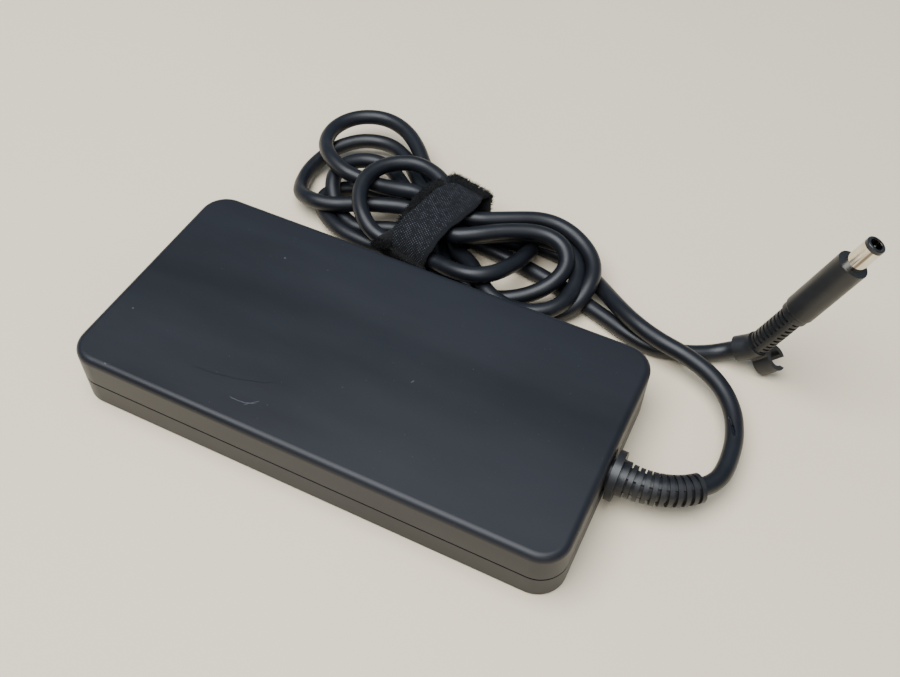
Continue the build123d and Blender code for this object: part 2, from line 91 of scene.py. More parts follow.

# %% [markdown]
# ## The cord's route
#
# The low-voltage cord is one round rubber-covered lead, 7 mm thick and about 1.8 m long. It
# leaves the case through a ribbed strain relief, swings back to the wound loops, passes ten times
# through the strap, and runs out to the plug. It could be simulated, but a wound cord's loops are
# personal to whoever wound it, so each turn is placed one by one: a few points a loop, in the order
# the cord takes them, resting on the table or on the strands below.

# %% Points of the route, in millimetres
CORD_D = 7.0 * MM
CORD_ROUTE = [
    ("out through the strain relief", [
        (103, 0, 12.4), (110, 0, 12.4), (117.3, 0.7, 12.3), (124.6, 3.6, 11.9)
    ]),
    ("free run from the case", [
        (130.75, 9.47, 11.02), (134.35, 13.35, 10.5), (136.7, 18.6, 10.2), (137.3, 27, 9.9),
        (136.4, 38, 9.9), (131.9, 50.2, 10.2), (122.6, 60, 10.8), (109.6, 65.6, 11.3),
        (95.6, 68.2, 11.5), (83.4, 73.2, 11.4), (72.6, 82.2, 8.6), (63.4, 91.8, 4.6),
        (54, 98.4, 3.6), (42, 102, 3.6)
    ]),
    ("along the table into the strap", [
        (30, 102.8, 3.6), (17, 101.6, 4.2)
    ]),
    ("strap, first pass", [
        (3.8, 98.2, 5.4), (-13.7, 102.2, 5.2)
    ]),
    ("low left loop", [
        (-26, 104, 4), (-38, 101.8, 3.6), (-51, 102, 3.6), (-63, 98.8, 3.6), (-70.9, 91, 3.6),
        (-69.6, 82.5, 3.7), (-62, 75.5, 4.7), (-52.4, 70.6, 5.3), (-43, 68.9, 5.4),
        (-33, 68.6, 5.5)
    ]),
    ("strap, second pass", [
        (-21.5, 71.1, 5.5), (-4.2, 65.8, 5.5)
    ]),
    ("outer right loop", [
        (6, 60.4, 4.4), (18, 57.6, 3.7), (31, 57, 3.6), (43, 61.5, 3.6), (52.8, 68.6, 3.7),
        (58.9, 75.3, 6.5), (61, 83.2, 11), (59.6, 93.4, 12.2), (53, 101.8, 13.2),
        (42.2, 107, 15.2), (30.4, 106.6, 17), (17, 98.6, 18)
    ]),
    ("strap, third pass", [
        (1.7, 89.6, 18.2), (-16.2, 92.6, 18.3)
    ]),
    ("far left loop", [
        (-25.6, 96.4, 17.6), (-34.8, 94.9, 17), (-45.2, 94.4, 15.2), (-55.4, 94.6, 15.6),
        (-63.6, 94.6, 16.8), (-74, 100, 17.3), (-82.6, 110.2, 14.8), (-85, 123, 14),
        (-79.5, 134.5, 14), (-67.5, 140.3, 14), (-54.5, 137.5, 14), (-43.5, 129.5, 13.4),
        (-34, 118.5, 12.4), (-24.5, 109.5, 11.9)
    ]),
    ("strap, fourth pass", [
        (-13.7, 102.3, 12), (-0.6, 80.4, 6.5)
    ]),
    ("middle right loop", [
        (5, 78.2, 7.8), (11.5, 73.6, 9.2), (18, 66.2, 10.5), (26, 60, 10.4), (36.5, 57.8, 9.8),
        (47.2, 61, 10), (54, 68, 10.6), (55.8, 78.2, 10.9), (54.4, 88.4, 11.2),
        (49.8, 95.4, 11.8), (42, 99.9, 12), (32, 99.4, 12.2), (22, 96, 12.5), (11.5, 90.4, 12.8)
    ]),
    ("strap, fifth pass", [
        (0.1, 83.3, 12.9), (-12.4, 100.2, 18.6)
    ]),
    ("top left loop", [
        (-20, 107, 20.4), (-32.5, 110.8, 20.6), (-41.8, 106.6, 21), (-48.4, 98.6, 21),
        (-50, 88.8, 20.4), (-46.6, 78.8, 19.2), (-40.2, 71.2, 17.5), (-32.5, 67, 14.4)
    ]),
    ("strap, sixth pass", [
        (-22.5, 67.6, 12.6), (-4.2, 65.6, 13.2)
    ]),
    ("small right loop", [
        (8.6, 61.4, 16), (17.8, 61.9, 17.2), (24.6, 67.6, 16.6), (28.6, 78.2, 14.2),
        (30.6, 88.5, 11.9), (29.6, 96.8, 7.8), (22.5, 98.6, 5.3), (12.5, 96, 6.8)
    ]),
    ("strap, seventh pass", [
        (1.9, 90.8, 11.9), (-19.2, 80.3, 5.5)
    ]),
    ("inner left loop", [
        (-29.5, 83.4, 4.6), (-38, 80.6, 3.7), (-46, 76.2, 3.6), (-54.5, 78.6, 3.7),
        (-62.6, 84, 6), (-67.6, 90.6, 9.4), (-70, 97.6, 10.8), (-68.4, 106.2, 11),
        (-60.6, 113.2, 10.5), (-49.8, 113.4, 10.4), (-40, 106, 10.6), (-31.5, 99.6, 9.2),
        (-23.5, 95.6, 6.6)
    ]),
    ("strap, eighth pass", [
        (-16.1, 92.6, 5.4), (-2.4, 73.2, 5.6)
    ]),
    ("top right loop", [
        (6, 67.6, 4.4), (15.5, 64.4, 3.9), (26, 64, 4.6), (38, 69.5, 7), (47, 78, 11),
        (49.5, 88, 14.5), (43.5, 95.8, 17.5), (32, 96.4, 19), (18, 88.4, 20), (8, 80.6, 20)
    ]),
    ("strap, ninth pass", [
        (-1.7, 76.4, 18.8), (-16.9, 89.2, 11.8)
    ]),
    ("widest left loop", [
        (-27, 91.8, 11.6), (-40, 88, 11.2), (-50.5, 83.4, 11), (-60, 77.8, 11),
        (-69.5, 76.8, 10.6), (-79, 81, 7.6), (-83.6, 89.4, 5), (-85.8, 99.4, 4.8),
        (-84.2, 110.6, 5.6), (-79.6, 119, 7.6), (-70.5, 127.6, 8.3), (-57.5, 130.1, 8.3),
        (-45, 123.3, 8.8), (-35.5, 113, 10), (-26, 103.9, 10.9)
    ]),
    ("strap, last pass", [
        (-15.2, 96.2, 11.4), (2.1, 91.2, 5.5)
    ]),
    ("out along the table", [
        (15, 90.4, 4.2), (28, 88.6, 3.6)
    ]),
    ("free run to the plug", [
        (40.6, 86.4, 3.6), (52, 83.2, 3.6), (63, 79.4, 3.6), (73.6, 75.8, 3.6), (84, 72, 3.6),
        (93.4, 70, 3.6), (103, 71.8, 3.6), (111.4, 75.2, 3.6), (117.6, 78.6, 4),
        (122.1, 80.63, 5.75), (125.6, 81, 8.4)
    ]),
    ("up into the plug's sleeve", [
        (129, 81.4, 11)
    ]),
]
route_points = [Vector(point) * MM for stretch in CORD_ROUTE for point in stretch[1]]
print(len(CORD_ROUTE), "stretches and", len(route_points), "points")

# %% [markdown]
# ## One smooth line
#
# A quadratic NURBS spline is pulled towards each point without having to touch it, as a stiff
# rubber lead is, so the loops stay round with few points. Its order is set only once all the
# points are there, or it would stay a chain of straight pieces. Each point carries the cord's
# radius and the bevel is a unit circle that it scales, so that the curve's own box is right too:
# Blender pads that box by the points' radius.

# %% Cord
UNIT_BEVEL, BEVEL_STEPS, STEPS_PER_POINT = 1.0, 7, 12


def add_cord(points):
    data = bpy.data.curves.new("cord", "CURVE")
    data.dimensions, data.resolution_u = "3D", STEPS_PER_POINT
    data.bevel_depth, data.bevel_resolution = UNIT_BEVEL, BEVEL_STEPS
    data.use_fill_caps = True
    spline = data.splines.new("NURBS")
    spline.points.add(len(points) - 1)
    for knot, point in zip(spline.points, points):
        knot.co = (*point, 1.0)
        knot.radius = CORD_D / 2
    spline.order_u = 3
    spline.use_endpoint_u = True
    return put("cord", data)


cord = add_cord(route_points)
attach(cord, "root")
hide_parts("cord_case_run", "cord_hank", "cord_plug_run")

# %% [markdown]
# ## The strap round the bundle
#
# A hook-and-loop strap is one band of cloth, 20 mm wide, wound a little over one and a half times
# round the strands. Its first turn shows its soft pile outwards, and its second lies on that with
# its woven back outwards and stops at the far shoulder of the bundle. A simulated cloth would slip
# about on the strands, so the band is laid out directly: a soft-cornered oval is walked round, and
# rows of points across the band follow it. A place along the band is a turn: 0 is under the
# bundle, 0.5 is the top of the first turn, and 1 is under the bundle again.

# %% Shape of the oval that the strap follows
STRAP_CENTRE = Vector((-9.0, 84.5, 11.9)) * MM
STRAP_ALONG = Vector((0.9703, -0.2419, 0.0))
STRAP_ACROSS = Vector((0.2419, 0.9703, 0.0))
OVAL_V, OVAL_Z = 21.2 * MM, 10.7 * MM
SQUARE, SLOPED = 4.0, 2.5      # how square the oval's corners are; the front top one is sloped
STRAP_W, STRAP_T = 20.0 * MM, 0.85 * MM
INNER_OFF, OUTER_OFF = 0.5 * MM, 1.45 * MM
INNER_FLOOR, OUTER_FLOOR = 1.5 * MM, 0.55 * MM
OUTER_TURN_FROM, OUTER_TURN_AT = 0.94, 1.06


def oval(turn, off):
    """Place across the bundle and height above its middle."""
    angle = -math.pi / 2 - 2 * math.pi * turn
    c, s = math.cos(angle), math.sin(angle)
    power = SLOPED if c < 0 < s else SQUARE
    size = (abs(c) ** power + abs(s) ** power) ** (-1 / power)
    return (OVAL_V + off) * c * size, (OVAL_Z + off) * s * size


def soft_step(low, high, x):
    t = min(1.0, max(0.0, (x - low) / (high - low)))
    return t * t * (3 - 2 * t)


print("oval is", round(2000 * OVAL_V, 1), "by", round(2000 * OVAL_Z, 1), "mm inside")

# %% [markdown]
# ## How the band strays from the oval
#
# Nobody winds a strap dead straight. The first turn slips sideways in two places, so that its pile
# shows beside the second turn. It stands off the strands just past the free end, and its left edge
# is lifted where it crosses a strand. Each of these is one smooth swelling: how much, at what turn,
# and over how much of a turn.

# %% Slips, puff and flap
INNER_SLIPS = [(-6.6 * MM, 0.25, 0.07), (-4.8 * MM, 0.55, 0.13)]
OUTER_SLIP = 0.5 * MM
PUFF = (3.3 * MM, 0.676, 0.03)
FLAP = (4.5 * MM, 0.28, 0.06)
FLAP_INNER, FLAP_OUTER = 7.0 * MM, 12.0 * MM      # how far left of the middle it starts to lift


def swelling(turn, size, middle, width):
    return size * math.exp(-((turn - middle) / width) ** 2)


def strap_row(turn):
    """Distance off the oval, lowest height, and slip along the strands, at a turn."""
    outer = soft_step(OUTER_TURN_FROM, OUTER_TURN_AT, turn)
    slip = sum(swelling(turn, *part) for part in INNER_SLIPS) * (1 - outer) + OUTER_SLIP * outer
    off = INNER_OFF + (OUTER_OFF - INNER_OFF) * outer + swelling(turn, *PUFF)
    return off, INNER_FLOOR + (OUTER_FLOOR - INNER_FLOOR) * outer, slip


def on_strap(turn, u, lift=0.0):
    """A point of the band, u metres from its middle line, raised off its surface by lift."""
    off, lowest, slip = strap_row(turn)
    flap = soft_step(FLAP_INNER, FLAP_OUTER, -u - slip) * swelling(turn, *FLAP)
    v, z = oval(turn, off + lift + flap)
    flat = STRAP_CENTRE + STRAP_ALONG * (u + slip) + STRAP_ACROSS * v
    return Vector((flat.x, flat.y, max(lowest, STRAP_CENTRE.z + z)))


print("top of the band is", round(on_strap(0.5, 0).z * 1000, 1), "mm above the table")

# %% [markdown]
# ## Cutting and winding the band
#
# The band's edges aren't quite straight after years of use, and its free end is cut round. Each
# row's edges are moved a little by two small waves, and the last rows draw in towards the middle.
# The same rows carry a flat map of the band in metres, which the woven finish reads later.

# %% Strap mesh
TURNS, ROWS, COLUMNS = 1.632, 240, 22
WOVEN_FROM = 1.27                       # the turn from which the woven back shows
END_TURNS, END_DRAWN_IN = 0.06, 0.72
WAVERS = [(0.28 * MM, 41, 2.1), (0.16 * MM, 97, 1.0)]
EDGE_ONLY = 6                           # the higher, the less the waves reach inwards
SAG, SAG_WAVES = 0.35 * MM, 23


def edge_waver(turn, side):
    return sum(size * math.sin(turn * waves + side * lag) for size, waves, lag in WAVERS)


def half_width(turn):
    to_end = min(1.0, (TURNS - turn) / END_TURNS)
    return STRAP_W / 2 * math.sqrt(1 - (1 - to_end) ** 2 * END_DRAWN_IN)


def band_points():
    """Points row by row, with their place on the flat band, and the band's length."""
    points, places, length = [], [], 0.0
    before = on_strap(0, 0)
    for row in range(ROWS + 1):
        turn = TURNS * row / ROWS
        centre = on_strap(turn, 0)
        length += (centre - before).length
        before = centre
        for column in range(COLUMNS + 1):
            side = 2 * column / COLUMNS - 1
            u = side * half_width(turn) + edge_waver(turn, side) * abs(side) ** EDGE_ONLY
            sag = SAG * (1 - side ** 2) * math.sin(turn * SAG_WAVES + side) ** 2
            points.append(on_strap(turn, u, -sag))
            places.append((u, length))
    return points, places, length


def add_strap():
    points, places, length = band_points()
    corners = (0, 1, COLUMNS + 2, COLUMNS + 1)
    faces = [tuple(row * (COLUMNS + 1) + column + corner for corner in corners)
             for row in range(ROWS) for column in range(COLUMNS)]
    mesh = bpy.data.meshes.new("strap")
    mesh.from_pydata(points, [], faces)
    layer = mesh.uv_layers.new(name="band")
    for loop in mesh.loops:
        layer.data[loop.index].uv = places[loop.vertex_index]
    for face in mesh.polygons:
        face.use_smooth = True
        face.material_index = 0 if face.index // COLUMNS > ROWS * WOVEN_FROM / TURNS else 1
    strap = put("strap", mesh)
    thicken = strap.modifiers.new("thickness", "SOLIDIFY")
    thicken.thickness, thicken.offset = STRAP_T, 0.0
    return strap, length


strap, strap_length = add_strap()
print("band is", round(strap_length * 1000), "mm long and", round(STRAP_W * 1000), "mm wide")

# %% [markdown]
# ## Loose pile
#
# Along its edges and past its free end the strap is furry: the loops of its pile have pulled out
# into short bent fibres. A hair system would not travel with an exported model, so each fibre is a
# thin three-sided spike of its own, bent once, and all of them are one mesh. Five places are furry,
# each with its own share of the fibres.

# %% Pile fibres
FIBRES, FIBRE_R, FIBRE_ROOT = 7500, 0.11 * MM, 0.2 * MM
FIBRE_LENGTHS = (0.5, 1.1)
WILDNESS, DROOP = 0.6, 0.8
BEND_AT, TIP_REACH, BEND_THINNER = 0.55, 0.5, 0.8
SIDES = 3
FURRY_PLACES = [      # draw below this, turns, place across in mm, sideways lean, length in mm
    (0.24, (0.38, 0.68), (-10.0, -5.8), -0.5, 2.0),      # left of the woven turn, over the top
    (0.44, (0.17, 0.31), (-10.0, -2.5), -0.5, 2.2),      # the flap, low at the front
    (0.62, (1.12, 1.245), (-10.0, 10.0), -0.1, 1.6),     # below the woven turn's start
    (0.94, (0.63, 0.74), (-10.0, 10.0), 0.0, 3.0),       # past the free end, far shoulder
    (1.00, (0.64, 0.76), (10.0, 8.8), 0.6, 1.6),         # the right edge there
]
chance = random.Random(11)


def outward(turn, u):
    step = on_strap(turn, u, 0.4 * MM) - on_strap(turn, u)
    return step.normalized() if step.length > 1e-9 else Vector((0, 0, 1))


def add_fibre(points, faces, root, lean, length):
    """A spike with a root, a bend and a tip, which goes no lower than the table."""
    side = lean.orthogonal().normalized()
    other = lean.cross(side)
    bend = root + lean * length * BEND_AT
    bend.z = max(bend.z, FIBRE_R)
    droop = Vector((chance.uniform(-1, 1), chance.uniform(-1, 1), chance.uniform(-1, 0.5)))
    tip = bend + (lean + droop * DROOP).normalized() * length * TIP_REACH
    tip.z = max(tip.z, 0.0)
    first = len(points)
    for centre, radius in ((root, FIBRE_R), (bend, FIBRE_R * BEND_THINNER)):
        for k in range(SIDES):
            angle = 2 * math.pi * k / SIDES
            points.append(centre + (side * math.cos(angle) + other * math.sin(angle)) * radius)
    points.append(tip)
    for k in range(SIDES):
        n = (k + 1) % SIDES
        faces.append((first + k, first + n, first + SIDES + n, first + SIDES + k))
        faces.append((first + SIDES + k, first + SIDES + n, first + 2 * SIDES))
    faces.append((first + 2, first + 1, first))


def fibre_place():
    """Turn, place across, sideways lean and length of a fibre, in one of the furry places."""
    draw = chance.random()
    _, turns, across, sideways, length = next(spot for spot in FURRY_PLACES if draw < spot[0])
    return chance.uniform(*turns), chance.uniform(*across) * MM, sideways, length * MM


def add_pile():
    points, faces = [], []
    for _ in range(FIBRES):
        turn, u, sideways, length = fibre_place()
        wild = Vector((chance.uniform(-1, 1), chance.uniform(-1, 1), chance.uniform(-0.6, 1)))
        lean = (outward(turn, u) + STRAP_ALONG * sideways + wild * WILDNESS).normalized()
        root = on_strap(turn, u, FIBRE_ROOT)
        add_fibre(points, faces, root, lean, length * chance.uniform(*FIBRE_LENGTHS))
    mesh = bpy.data.meshes.new("strap_pile")
    mesh.from_pydata(points, [], faces)
    return put("strap_pile", mesh)


pile = add_pile()
for piece in (strap, pile):
    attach(piece, "root")
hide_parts("hook_and_loop_strap")
print("pile of", len(pile.data.polygons), "faces")

# %% [markdown]
# ## A small kit for finishes
#
# Every finish here is made the same way a painter works: a base, then a slow change of colour, then
# a change of gloss, then grain. Each helper adds one such layer to a material. The layers read the
# piece's own place in space, so nothing needs unwrapping, and whatever is the same all over is set
# on the shader itself.

# %% Helpers that build a finish
def new_finish(name, colour, roughness, also=()):
    finish = bpy.data.materials.new(name)
    finish.use_nodes = True
    shader = finish.node_tree.nodes["Principled BSDF"]
    shader.inputs["Base Color"].default_value = (*colour, 1)
    shader.inputs["Roughness"].default_value = roughness
    for socket, value in dict(also).items():
        shader.inputs[socket].default_value = value
    return finish


def add_node(finish, kind, sources=(), **values):
    """A node, with values for its sockets or settings and links from other nodes' outputs."""
    node = finish.node_tree.nodes.new("ShaderNode" + kind)
    for name, value in values.items():
        if hasattr(node, name):
            setattr(node, name, value)
        else:
            node.inputs[name.replace("_", " ").title()].default_value = value
    for socket, output in dict(sources).items():
        finish.node_tree.links.new(output, node.inputs[socket])
    return node


def combine(finish, operation, *terms):
    """Arithmetic on terms that are plain numbers or other nodes' outputs."""
    node = add_node(finish, "Math", operation=operation)
    for socket, term in zip(node.inputs, terms):
        if isinstance(term, (int, float)):
            socket.default_value = term
        else:
            finish.node_tree.links.new(term, socket)
    return node.outputs[0]


def wire(finish, output, socket):
    finish.node_tree.links.new(output, finish.node_tree.nodes["Principled BSDF"].inputs[socket])


print("node helpers ready")

# %% [markdown]
# ## Layers of a finish
#
# Noise in three dimensions stands in for everything uneven: wiped streaks, drawn metal, cast rubber.
# It is stretched to give it a direction, and then mapped to a range of colour, gloss or height.

# %% Helpers that lay down one layer
MIDDLE_OF_NOISE = (0.35, 0.65)      # nearly all of the noise lies between these


def noise_at(finish, scale, detail=4.0, stretch=(1, 1, 1)):
    place = add_node(finish, "TexCoord").outputs["Object"]
    if stretch != (1, 1, 1):
        place = add_node(finish, "Mapping", {"Vector": place}, Scale=stretch).outputs["Vector"]
    return add_node(finish, "TexNoise", {"Vector": place}, Scale=scale, Detail=detail).outputs["Fac"]


def spread(finish, value, low, high, start=MIDDLE_OF_NOISE[0], end=MIDDLE_OF_NOISE[1]):
    """Turns a value that runs from start to end into one that runs from low to high."""
    node = add_node(finish, "MapRange", {"Value": value})
    for name, number in (("From Min", start), ("From Max", end), ("To Min", low), ("To Max", high)):
        node.inputs[name].default_value = number
    return node.outputs["Result"]


def blend_colours(finish, value, low, high, start=MIDDLE_OF_NOISE[0], end=MIDDLE_OF_NOISE[1]):
    ramp = add_node(finish, "ValToRGB", {"Fac": value})
    for stop, place, colour in zip(ramp.color_ramp.elements, (start, end), (low, high)):
        stop.position, stop.color = place, (*colour, 1)
    return ramp.outputs["Color"]


def lay_over(finish, ground, colour, share):
    """Lays a plain colour over what is there, by a share that runs from 0 to 1."""
    mix = add_node(finish, "Mix", {"Factor": share}, data_type="RGBA")
    finish.node_tree.links.new(ground, mix.inputs[6])
    mix.inputs[7].default_value = (*colour, 1)
    return mix.outputs[2]


def mottle(finish, low, high, scale, stretch=(1, 1, 1)):
    noise = noise_at(finish, scale, stretch=stretch)
    wire(finish, blend_colours(finish, noise, low, high), "Base Color")


def vary_gloss(finish, low, high, scale, stretch=(1, 1, 1)):
    wire(finish, spread(finish, noise_at(finish, scale, stretch=stretch), low, high), "Roughness")


def grain(finish, scale, depth, strength=0.5, stretch=(1, 1, 1)):
    bump = add_node(finish, "Bump", {"Height": noise_at(finish, scale, 3.0, stretch)},
                    Strength=strength, Distance=depth)
    wire(finish, bump.outputs["Normal"], "Normal")
    return bump


print("layers ready")

# %% [markdown]
# ## Scratches and rubbed lines
#
# A scratch could be cut into the mesh, but it is shallower than the grain, so it is painted: a
# narrow mask round a bent line. The line is a parabola in a frame that is moved and turned to the
# scratch, shaken a little by noise. The mask fades out at both ends, and below the surface it is on.

# %% Masks for marks
SHAKE_SCALE = 260


def from_point(finish, point):
    """The way from a fixed point to each place on the piece."""
    place = add_node(finish, "TexCoord").outputs["Object"]
    away = add_node(finish, "VectorMath", {0: place}, operation="SUBTRACT")
    away.inputs[1].default_value = point
    return away.outputs[0]


def stroke(finish, centre, degrees, length, width, bow=0.0, shake=0.0):
    """1 along a bent line and 0 elsewhere. The centre and the sizes are in millimetres."""
    away = from_point(finish, [c * MM for c in centre])
    spun = add_node(finish, "VectorRotate", {"Vector": away}, Angle=-math.radians(degrees))
    x, y, z = add_node(finish, "SeparateXYZ", {"Vector": spun.outputs[0]}).outputs
    bent = combine(finish, "MULTIPLY_ADD", combine(finish, "MULTIPLY", x, x), -bow / MM, y)
    shaken = combine(finish, "MULTIPLY_ADD", noise_at(finish, SHAKE_SCALE, 2.0), shake * MM, bent)
    across = combine(finish, "ABSOLUTE", shaken)
    along = combine(finish, "ABSOLUTE", x)
    near = spread(finish, across, 1.0, 0.0, 0.0, width * MM)
    within = spread(finish, along, 1.0, 0.0, 0.35 * length * MM, 0.5 * length * MM)
    on_top = spread(finish, z, 0.0, 1.0, -0.9 * MM, -0.4 * MM)
    return combine(finish, "MULTIPLY", near, combine(finish, "MULTIPLY", within, on_top))


def strongest(finish, masks):
    best = masks[0]
    for mask in masks[1:]:
        best = combine(finish, "MAXIMUM", best, mask)
    return best


print("marks ready")

# %% [markdown]
# ## The case's plastic
#
# Both shells are one black plastic from a lightly etched mould: slate grey where they face the
# light, with a fine even tooth. Handling has wiped the lid in long faint streaks and left a pale
# scratch, one long dark arc, a few pinprick marks and some dust. The seam between the shells
# reflects nothing, so it stays dark from every side.

# %% Case finish
LID = 25.4
SEAM_Z, SEAM_HALF = 11.3 * MM, 0.32 * MM
CASE_SHINE = 0.40
PALE_MARKS = [      # centre, degrees, length, width, bow, shake
    ((-27.6, -39.0, LID), 10, 11, 0.24, 0.03, 1.6), ((-24.4, -38.2, LID), 44, 6, 0.2, 0, 0.9),
    ((-52.1, 28.6, LID), 0, 1.0, 0.45, 0, 0), ((-89.8, -21.0, LID), 0, 0.9, 0.4, 0, 0),
    ((23.0, -4.0, LID), 65, 1.6, 0.3, 0, 0), ((-82.0, -47.4, 24.2), -10, 1.2, 0.3, 0, 0.4),
]
DARK_ARC = ((-37.2, -31.6, LID), 12, 36, 0.34, 0.006, 1.3)
SLATE = ((0.0050, 0.0056, 0.0080), (0.0104, 0.0114, 0.0156))
RUBBED_DARK, SCRAPED_PALE = (0.003, 0.003, 0.004), (0.11, 0.118, 0.135)


def case_colour(finish, dark):
    base = blend_colours(finish, noise_at(finish, 22, 5.0, (0.5, 1.6, 1)), *SLATE, 0.34, 0.66)
    marked = lay_over(finish, base, RUBBED_DARK, spread(finish, dark, 0.0, 0.55, 0.0, 1.0))
    pale = strongest(finish, [stroke(finish, *mark) for mark in PALE_MARKS])
    dust = spread(finish, noise_at(finish, 1100, 1.0), 0.0, 0.5, 0.76, 0.84)
    share = strongest(finish, [spread(finish, pale, 0.0, 0.7, 0.0, 1.0), dust])
    return lay_over(finish, marked, SCRAPED_PALE, share)


def case_finish():
    finish = new_finish("etched_case_plastic", SLATE[0], 0.42)
    dark = stroke(finish, *DARK_ARC)
    wire(finish, case_colour(finish, dark), "Base Color")
    streaks = spread(finish, noise_at(finish, 16, 6.0, (0.4, 2.2, 1)), 0.39, 0.47)
    wire(finish, combine(finish, "MULTIPLY_ADD", dark, -0.09, streaks), "Roughness")
    above_seam = add_node(finish, "SeparateXYZ", {"Vector": from_point(finish, (0, 0, SEAM_Z))})
    off_seam = combine(finish, "ABSOLUTE", above_seam.outputs["Z"])
    wire(finish, spread(finish, off_seam, 0.0, CASE_SHINE, SEAM_HALF, SEAM_HALF * 1.5),
         "Specular IOR Level")
    grain(finish, 2600, 0.03 * MM, 0.35)
    return finish


finishes = {"case_plastic": case_finish()}
print("case finish has", len(finishes["case_plastic"].node_tree.nodes), "nodes")

# %% [markdown]
# ## Rubber and overmoulding
#
# The cord's jacket is extruded, so it is smooth along its length with a satin shine, and where it
# was once folded hard, on the free bend, there is a short crushed mark. The strain reliefs are a
# softer, duller rubber. The plug's grip is harder and smoother, almost silky.

# %% Cord, relief and plug finishes
CREASE = ((134.4, 40.0, 13.1), -59, 10, 0.75, 0.0, 1.4)
CREASE_DEPTH = 0.6 * MM


def cord_finish():
    finish = new_finish("cord_jacket", (0.006, 0.007, 0.009), 0.4, {"Specular IOR Level": 0.42})
    mottle(finish, (0.0045, 0.005, 0.007), (0.008, 0.009, 0.012), 60)
    crushed = stroke(finish, *CREASE)
    satin = spread(finish, noise_at(finish, 90, 3.0), 0.37, 0.46)
    wire(finish, combine(finish, "MULTIPLY_ADD", crushed, -0.25, satin), "Roughness")
    fine = grain(finish, 1500, 0.02 * MM, 0.25)
    dent = add_node(finish, "Bump", {"Height": crushed, "Normal": fine.outputs["Normal"]},
                    Strength=1.0, Distance=CREASE_DEPTH, invert=True)
    wire(finish, dent.outputs["Normal"], "Normal")
    return finish


def simple_finish(name, low, high, gloss, scale, tooth, depth, also=()):
    """A finish of three layers: two close colours, a range of gloss, and a fine tooth."""
    finish = new_finish(name, low, gloss[0], also)
    mottle(finish, low, high, scale)
    vary_gloss(finish, *gloss, scale * 1.7)
    grain(finish, tooth, depth)
    return finish


finishes["cord_rubber"] = cord_finish()
finishes["relief_rubber"] = simple_finish(
    "relief_rubber", (0.008, 0.0082, 0.009), (0.013, 0.013, 0.0138), (0.36, 0.5), 150, 1400, 0.00004)
finishes["plug_plastic"] = simple_finish(
    "plug_overmould", (0.009, 0.0092, 0.010), (0.014, 0.014, 0.0148), (0.32, 0.42), 120, 1800, 0.00003)
finishes["tip_plastic"] = simple_finish(
    "tip_ring", (0.010, 0.010, 0.011), (0.016, 0.016, 0.017), (0.18, 0.3), 200, 1500, 0.00002)
print("rubber and plug finishes:", sorted(finishes))

# %% [markdown]
# ## Contact metal
#
# The plug's barrel and the inlet's blades are nickel plated: bright, faintly warm, and drawn along
# their length, so the grain is much longer one way than the other. A narrow band beside the barrel's
# middle is painted a dull brown, as a painted reflection of something dark beside the plug.

# %% Contact finish
PLUG_MIDDLE = (0.1415, 0.0826, 0.0380)
PLUG_SIDEWAYS = (0.824, 0.438, -0.358)
# Where the painted reflection lies: a dark brown band at one fixed side of the barrel.
REFLECTED_STREAK_AT, REFLECTED_STREAK_CORE, REFLECTED_STREAK_EDGE = -1.75 * MM, 0.25 * MM, 0.75 * MM
NICKEL = ((0.70, 0.64, 0.52), (0.84, 0.79, 0.68))
REFLECTED_STREAK_BROWN = (0.11, 0.085, 0.065)


def contact_finish():
    finish = new_finish("nickel_contacts", (0.82, 0.77, 0.68), 0.22, {"Metallic": 1.0})
    clean = blend_colours(finish, noise_at(finish, 300, stretch=(1, 1, 0.2)), *NICKEL)
    away = from_point(finish, PLUG_MIDDLE)
    aside = add_node(finish, "VectorMath", {0: away}, operation="DOT_PRODUCT")
    aside.inputs[1].default_value = PLUG_SIDEWAYS
    off_line = combine(finish, "SUBTRACT", aside.outputs["Value"], REFLECTED_STREAK_AT)
    distance = combine(finish, "ABSOLUTE", off_line)
    # Painted reflection: the band beside the barrel's middle is darkened to dull brown.
    painted_reflection = spread(finish, distance, 0.85, 0.0, REFLECTED_STREAK_CORE, REFLECTED_STREAK_EDGE)
    wire(finish, lay_over(finish, clean, REFLECTED_STREAK_BROWN, painted_reflection), "Base Color")
    vary_gloss(finish, 0.08, 0.16, 500, (1, 1, 0.15))
    grain(finish, 2500, 0.01 * MM, 0.15, (1, 1, 0.1))
    return finish


finishes["contact_metal"] = contact_finish()
print("contact finish ready")

# %% [markdown]
# ## Strap cloth
#
# The woven back shows rows of tiny raised knots on a nearly black ground, and the point of light that
# each knot catches is painted into its colour as a pale glint. The knots come from two sets of waves
# that cross. The strap carries its own map, measured in metres across and along the band, so the knots
# and their painted glints keep their true pitch all the way round, and they stop at the plain hem along
# the right edge. The pile has no order at all, only fuzz.

# %% Strap finishes
KNOT_PITCH, KNOT_HEIGHT, KNOT_TURN = 0.95 * MM, 0.25 * MM, 28
WAVE_PERIOD = 0.314      # of the wave texture at a scale of 1, in metres
HEM = 7.7 * MM
# The knot colour is a painted glint: the light caught on each knot, painted into the cloth.
CLOTH_GROUND, KNOT_GLINT = (0.0042, 0.0045, 0.0056), (0.092, 0.098, 0.118)


def band_place(finish):
    return add_node(finish, "UVMap", uv_map="band").outputs["UV"]


def waves(finish, direction):
    spun = add_node(finish, "Mapping", {"Vector": band_place(finish)})
    spun.inputs["Rotation"].default_value = (0, 0, math.radians(KNOT_TURN))
    wave = add_node(finish, "TexWave", {"Vector": spun.outputs["Vector"]}, bands_direction=direction)
    wave.inputs["Scale"].default_value = WAVE_PERIOD / KNOT_PITCH
    wave.inputs["Distortion"].default_value = 1.8
    return wave.outputs["Fac"]


